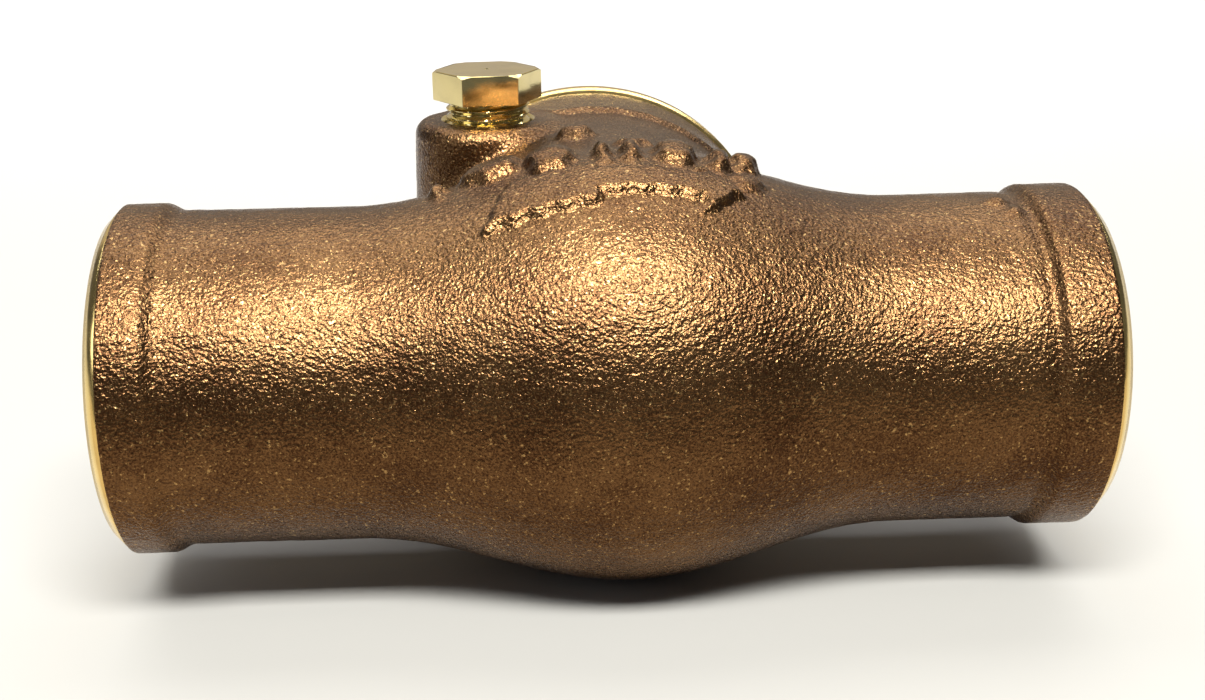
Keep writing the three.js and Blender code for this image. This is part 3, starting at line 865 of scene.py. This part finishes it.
# %% Cap
cap_low, cap_high = node_box("cap")
gasket_low, gasket_high = node_box("cap_gasket")
FLANGE_RADIUS = cap_high.x
FLANGE_BOTTOM = gasket_high.y + 0.05
FLANGE_TOP = FLANGE_BOTTOM + 4.0
CAP_THREAD_RADIUS = 25.1
CAP_THREAD_DEPTH = 1.1
CAP_PITCH = 2.1167
CAP_HEX = 38.0
CAP_HOLLOW = 20.5
flange_profile = [
    (0, FLANGE_BOTTOM - 0.6),
    (24.0, FLANGE_BOTTOM - 0.6),
    (24.0, FLANGE_BOTTOM),
    (FLANGE_RADIUS - 1.0, FLANGE_BOTTOM),
    (FLANGE_RADIUS - 0.3, FLANGE_BOTTOM + 0.25),
    (FLANGE_RADIUS, FLANGE_BOTTOM + 0.9),
    (FLANGE_RADIUS, FLANGE_TOP - 1.2),
    (FLANGE_RADIUS - 0.35, FLANGE_TOP - 0.4),
    (FLANGE_RADIUS - 1.2, FLANGE_TOP),
    (0, FLANGE_TOP),
]
cap = painted(turned("cap_turned", flange_profile, "Y", 192), cap_brass)
skirt = threaded_bar("skirt", "Y", CAP_THREAD_RADIUS, cap_low.y, FLANGE_BOTTOM - 0.3, CAP_PITCH,
                     CAP_THREAD_DEPTH, cap_brass, 144)
combine(cap, skirt)
cap_hex = hexagon("cap_hex", CAP_HEX, FLANGE_TOP - 0.5, cap_high.y, "Y", turn=math.radians(30), soft=0.5)
combine(cap, painted(cap_hex, cap_brass))
hollow = [(0, cap_low.y - 1), (CAP_HOLLOW, cap_low.y - 1), (CAP_HOLLOW, FLANGE_BOTTOM - 5),
          (CAP_HOLLOW - 4, FLANGE_BOTTOM - 1), (0, FLANGE_BOTTOM - 1)]
combine(cap, painted(turned("hollow", hollow, "Y"), cap_brass), "DIFFERENCE")
fit(cap, "housing", "cap", sharp=20)

gasket = ring("gasket_ring", 26.2, gasket_high.x, gasket_low.y, gasket_high.y)
fit(painted(gasket, cream_sheet), "housing", "cap_gasket")

# %% [markdown]
# ## The side plug and the hinge pin
#
# The plug shuts the hole through which the pin goes in. It is left a few threads proud. Its top is faced
# on the lathe, so it has rings and a small dimple at the centre.

# %% Plug and pin
plug_low, plug_high = node_box("side_plug")
PLUG_HEX = 14.3
PLUG_HEX_BOTTOM = BOSS_TOP + 3.0
PLUG_TURN = math.radians(30 + 4.5)
PLUG_THREAD_RADIUS = 6.35
PLUG_THREAD_DEPTH = 0.62
PLUG_PITCH = 1.27
plug_hex = hexagon("side_plug_brass", PLUG_HEX, PLUG_HEX_BOTTOM, plug_high.z, "Z", turn=PLUG_TURN, soft=0.16,
                   cut=0.75)
plug = painted(plug_hex, plug_brass)
shank = threaded_bar("shank", "Z", PLUG_THREAD_RADIUS, plug_low.z, PLUG_HEX_BOTTOM + 0.4, PLUG_PITCH,
                     PLUG_THREAD_DEPTH, plug_brass)
combine(plug, shank)
DIMPLE_TOP = plug_high.z + 0.05
dimple = turned("dimple", [(0, plug_high.z - 0.5), (0.45, DIMPLE_TOP), (0, DIMPLE_TOP)], "Z", 48)
combine(plug, painted(dimple, plug_brass), "DIFFERENCE")
fit(moved(plug, HINGE_X, HINGE_Y), "housing", "side_plug", sharp=20)

pin_low, pin_high = node_box("hinge_pin")
pin = moved(rod("pin_bar", PIN_RADIUS, pin_low.z, pin_high.z, "Z", 0.4, 72), HINGE_X, HINGE_Y)
fit(painted(pin, ground_steel), "pin", "hinge_pin")

# %% [markdown]
# ## Hanger
#
# The hanger is a small bronze casting: a hub on the pin, an arm, and an eye for the disc's stud. It is
# made as the body was, as a union in voxels, and then bored.

# %% Hanger
hanger_low, hanger_high = node_box("hanger")
HUB_RADIUS = 4.7
ARM_FRONT = -13.4
ARM_BACK = -9.0
EYE_BACK = -8.0
STUD_RADIUS = 3.97
bm = bmesh.new()
outline = [(-5.5, 0), (5.5, 0), (6.1, 17), (9, HINGE_Y - 3), (-9, HINGE_Y - 3), (-6.1, 17)]
faces = [[bm.verts.new((x, y, z)) for z, y in outline] for x in (ARM_FRONT, ARM_BACK)]
bm.faces.new(faces[0])
bm.faces.new(reversed(faces[1]))
for i in range(len(outline)):
    j = (i + 1) % len(outline)
    bm.faces.new([faces[0][j], faces[0][i], faces[1][i], faces[1][j]])
arm = object_from("arm", bm)
hub = moved(rod("hub", HUB_RADIUS, hanger_low.z, hanger_high.z, "Z", 0.6), HINGE_X, HINGE_Y)
eye = rod("eye", 8.0, ARM_FRONT, EYE_BACK, "X", 0.6)
hanger = voxel_union("hanger_casting", [arm, hub, eye], 0.4)
smooth = hanger.modifiers.new("smooth", "SMOOTH")
smooth.iterations = 8
run_tree(bake(hanger), sand_print, Grain_Size=1.6, Grain_Depth=0.08, Ripple_Size=9.0, Ripple_Depth=0.12,
         Material=hanger_bronze)
for cutter in (rod("eye_bore", STUD_RADIUS + 0.08, -20, 0, "X"),
               moved(rod("hub_bore", PIN_RADIUS + 0.08, -20, 20, "Z"), HINGE_X, HINGE_Y),
               turned("spot_back", [(0, EYE_BACK - 0.05), (12, EYE_BACK - 0.05), (12, -5), (0, -5)], "X"),
               turned("spot_front", [(0, -16), (9, -16), (9, ARM_FRONT + 0.05), (0, ARM_FRONT + 0.05)], "X")):
    combine(hanger, painted(cutter, disc_metal), "DIFFERENCE")
fit(hanger, "swing_arm", "hanger")

# %% [markdown]
# ## The disc
#
# The disc holder is a shallow turned cup with a stud on its back. The rubber seat disc lies in the cup,
# held by a plate and a slotted screw, and the stud hangs in the hanger's eye, held by a washer and a nut.

# %% Disc holder, rubber, plate, screw, washer and nut
holder_low, holder_high = node_box("disc_holder")
STUD_PITCH = 1.27
CUP_BACK = -15.2
CUP_FRONT = holder_low.x
CUP_FLOOR = CUP_BACK - 2.8
CUP_INNER = 19.9
CUP_OUTER = holder_high.z
HOLDER_BOSS_END = -13.8
STUD_START = -6.6
holder_profile = [
    (0, CUP_FLOOR),
    (CUP_INNER, CUP_FLOOR),
    (CUP_INNER, CUP_FRONT + 0.15),
    (20.05, CUP_FRONT),
    (20.75, CUP_FRONT),
    (CUP_OUTER, CUP_FRONT + 0.25),
    (CUP_OUTER, CUP_BACK - 0.8),
    (CUP_OUTER - 0.8, CUP_BACK),
    (8.4, CUP_BACK),
    (7.4, CUP_BACK + 0.3),
    (7.0, HOLDER_BOSS_END),
    (STUD_RADIUS, HOLDER_BOSS_END),
    (STUD_RADIUS, STUD_START),
    (0, STUD_START),
]
holder = painted(turned("disc_holder_cup", holder_profile, "X"), disc_metal)
stud = threaded_bar("stud", "X", STUD_RADIUS, STUD_START - 0.8, holder_high.x, STUD_PITCH, 0.5, disc_metal,
                    72)
combine(holder, stud)
combine(holder, painted(rod("tapped_hole", 3.1, -30, -14.4, "X"), disc_metal), "DIFFERENCE")
fit(holder, "disc", "disc_holder")

rubber_low, rubber_high = node_box("seat_disc")
rubber = ring("rubber_ring", 3.4, rubber_high.z, rubber_low.x, rubber_high.x, "X", 0.3)
fit(painted(rubber, black_rubber), "disc", "seat_disc")

plate_low, plate_high = node_box("disc_plate")
plate = ring("plate_ring", 3.4, plate_high.z, plate_low.x, plate_high.x, "X", 0.25)
fit(painted(plate, disc_metal), "disc", "disc_plate")

screw_low, screw_high = node_box("disc_screw")
HEAD_BACK = screw_low.x + 3.0
SCREW_HEAD = 5.4
SCREW_RADIUS = 2.9
SLOT_HALF_WIDTH = 0.7
SLOT_DEPTH = 1.3
head = [
    (0, screw_low.x),
    (3.4, screw_low.x),
    (4.6, screw_low.x + 0.35),
    (5.3, screw_low.x + 1.1),
    (SCREW_HEAD, HEAD_BACK - 0.2),
    (5.2, HEAD_BACK),
    (0, HEAD_BACK),
]
screw = painted(turned("disc_screw_head", head, "X"), disc_metal)
screw_shank = threaded_bar("screw_shank", "X", SCREW_RADIUS, HEAD_BACK - 0.4, screw_high.x, 0.8, 0.35,
                           disc_metal, 64)
combine(screw, screw_shank)
slot_cut = block("slot", (screw_low.x - 1, -SLOT_HALF_WIDTH, -8),
                 (screw_low.x + SLOT_DEPTH, SLOT_HALF_WIDTH, 8))
combine(screw, painted(slot_cut, disc_metal), "DIFFERENCE")
fit(screw, "disc", "disc_screw")

washer_low, washer_high = node_box("hanger_washer")
washer = ring("washer_ring", STUD_RADIUS + 0.15, washer_high.z, washer_low.x, washer_high.x, "X", 0.2)
fit(painted(washer, disc_metal), "disc", "hanger_washer")

nut_low, nut_high = node_box("hanger_nut")
NUT_HEX = 12.7
nut_hex = hexagon("hanger_nut_hex", NUT_HEX, nut_low.x, nut_high.x, "X", both_ends=True)
nut = painted(nut_hex, disc_metal)
nut_bore = painted(rod("nut_bore", STUD_RADIUS + 0.06, -20, 20, "X"), disc_metal)
combine(nut, nut_bore, "DIFFERENCE")
fit(nut, "disc", "hanger_nut", sharp=20)

# %% [markdown]
# ## Floor, light and camera
#
# The valve lies on a pale sheet. It is a plain grey plane that the lights bring up to white.

# %% Floor
bm = bmesh.new()
bmesh.ops.create_grid(bm, x_segments=1, y_segments=1, size=4.0)
floor = object_from("floor", bm)
floor_material, _, floor_shader = new_material("white_sheet")
floor_shader.inputs["Base Color"].default_value = (0.38, 0.38, 0.38, 1)
floor_shader.inputs["Roughness"].default_value = 0.6
painted(floor, floor_material)

print("floor:", floor.name)

# %% [markdown]
# The light is soft and comes from area lights. One long softbox high in front gives the bright band along
# the belly, two behind whiten the sheet, a warm one behind them lights the cap, a weak one lights the
# inlet's end, and the sky is a dim grey.

# %% Light
world = bpy.data.worlds.new("studio")
world.use_nodes = True
world.node_tree.nodes["Background"].inputs["Color"].default_value = (1, 1, 1, 1)
world.node_tree.nodes["Background"].inputs["Strength"].default_value = 0.09
bpy.context.scene.world = world


def softbox(name, place, aim, width, height, power, colour=(1, 1, 1)):
    light = bpy.data.lights.new(name, "AREA")
    light.shape = "RECTANGLE"
    light.size, light.size_y = width, height
    light.energy = power
    light.color = colour
    lamp = bpy.data.objects.new(name, light)
    lamp.location = place
    lamp.rotation_euler = (Vector(aim) - Vector(place)).to_track_quat("-Z", "Y").to_euler()
    bpy.context.scene.collection.objects.link(lamp)
    return lamp


KEY_DISTANCE = 0.9
KEY_ELEVATION = math.radians(56)
key_place = CROSSING + KEY_DISTANCE * Vector((0, -math.cos(KEY_ELEVATION), math.sin(KEY_ELEVATION)))
softbox("key", key_place, CROSSING, 0.72, 0.18, 21.5, (1.0, 0.98, 0.90))
softbox("overhead", (0.0, 0.45, 1.25), (0, 0.4, 0), 1.5, 0.7, 12.0, (1.0, 0.96, 0.89))
softbox("background", (0.0, 0.55, 0.7), (0, 1.2, 0), 1.8, 0.5, 22.5)
softbox("wall", (0.0, 1.6, 0.75), CROSSING, 3.2, 1.3, 6.0, (1.0, 0.86, 0.66))
softbox("left", (-0.95, -0.3, 0.45), CROSSING, 0.4, 0.4, 1.2)

# %% [markdown]
# Polished metal needs something dark to reflect, or it looks like plastic. A black card lies in front of
# the valve and a brown one nearer. Only reflections see them, so both are painted reflections.
# The black one stands in for the dark room in front: it draws a dark band along the belly and darkens
# the plug's front flat. The brown one is painted shade: it stands in for the shadowed floor under the
# valve and keeps the underside dark and warm.

# %% Two cards
CARD_WIDTH = 1.6
CARD_HEIGHT = 0.001


def card(name, near, far, colour):
    sheet = block(name, (-CARD_WIDTH / 2, far, CARD_HEIGHT / 2), (CARD_WIDTH / 2, near, CARD_HEIGHT))
    material, tree, shader = new_material(name)
    shader.inputs["Base Color"].default_value = (*colour, 1)
    shader.inputs["Roughness"].default_value = 0.9
    painted(sheet, material)
    sheet.visible_camera = sheet.visible_diffuse = sheet.visible_shadow = False


# Painted reflections: a black sheet for the dark room in front, and painted shade for the shadowed floor
# under the valve.
card("dark_reflection_card", -0.13, -0.9, (0.03, 0.03, 0.03))
card("shaded_floor_card", -0.032, -0.13, (0.285, 0.245, 0.20))

# %% [markdown]
# The camera stands close, a little to the left and about 19 degrees above the valve, with a lens close to
# a normal one. So near, it sees both ends turn slightly away from it.

# %% Camera
LENS = 46.9
DISTANCE = 0.2198
ELEVATION = math.radians(19.2)
YAW = math.radians(3.27)
ROLL = math.radians(-0.49)
aim = CROSSING + Vector((-0.63, 0.0, 2.27)) * MM
level = math.cos(ELEVATION)
away = Vector((-math.sin(YAW) * level, -math.cos(YAW) * level, math.sin(ELEVATION)))
camera_data = bpy.data.cameras.new("camera")
camera_data.lens = LENS
camera_data.clip_start = 0.01
camera = bpy.data.objects.new("camera", camera_data)
camera.location = aim + away * DISTANCE
turn = (-away).to_track_quat("-Z", "Y").to_matrix() @ Matrix.Rotation(ROLL, 3, "Z")
camera.rotation_euler = turn.to_euler()
bpy.context.scene.collection.objects.link(camera)
bpy.context.scene.camera = camera
bpy.context.scene.view_settings.view_transform = "Standard"

print(f"camera: {LENS} mm lens, {DISTANCE} m from the valve")
